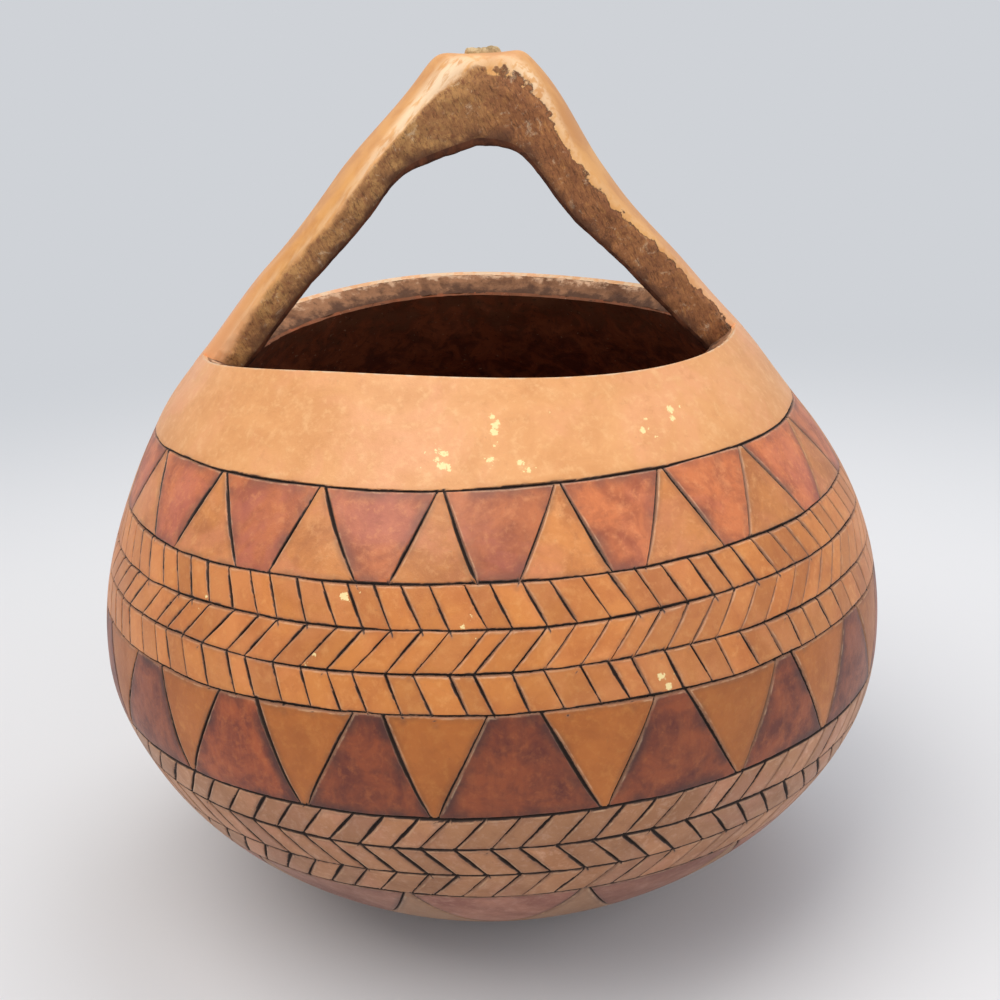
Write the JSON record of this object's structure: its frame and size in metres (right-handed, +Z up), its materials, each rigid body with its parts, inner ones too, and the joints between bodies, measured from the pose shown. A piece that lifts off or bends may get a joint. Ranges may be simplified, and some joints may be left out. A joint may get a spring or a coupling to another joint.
{
  "type": "carved gourd basket",
  "caption": "Round carved gourd bowl whose own wall rises over the mouth as a strap handle, ringed by bands of triangles, slanted tiles and scallops.",
  "frame": {"origin": "middle of the flat that the gourd stands on", "axes": "+Z up through the stem, +X along the handle to the right, front is -Y"},
  "size_m": [0.22, 0.22, 0.24],
  "materials": {
    "wall": "cut gourd wall, rough brown fibre",
    "pith": "dark dried pith, matt",
    "stub": "grey corky scar",
    "skin": "polished tan gourd skin, satin",
    "tile_skin": "polished orange tan gourd skin, carved",
    "low_tile_skin": "duller tan gourd skin, carved",
    "dyed_skin": "red brown dyed gourd skin, satin"
  },
  "bodies": {
    "root": {"bowl_wall": "wall", "wall_seat": "wall", "wall_foot": "wall", "wall_shoulder": "wall", "wall_neck": "wall", "bowl_lining": "pith", "handle_left_leg": "wall", "handle_right_leg": "wall", "handle_crown": "wall", "handle_lining": "pith", "stem_stub": "stub", "blossom_scar": "stub", "collar_skin": "skin", "upper_light_triangles": "skin", "upper_dark_panels": "dyed_skin", "upper_tile_row_1": "tile_skin", "upper_tile_row_2": "tile_skin", "upper_tile_row_3": "tile_skin", "lower_light_triangles": "skin", "lower_dark_panels": "dyed_skin", "lower_tile_row_1": "low_tile_skin", "lower_tile_row_2": "low_tile_skin", "lower_tile_row_3": "low_tile_skin", "scallop_panels": "dyed_skin", "base_skin": "skin", "left_leg_skin": "skin", "right_leg_skin": "skin", "crown_skin": "skin"}
  },
  "joints": []
}
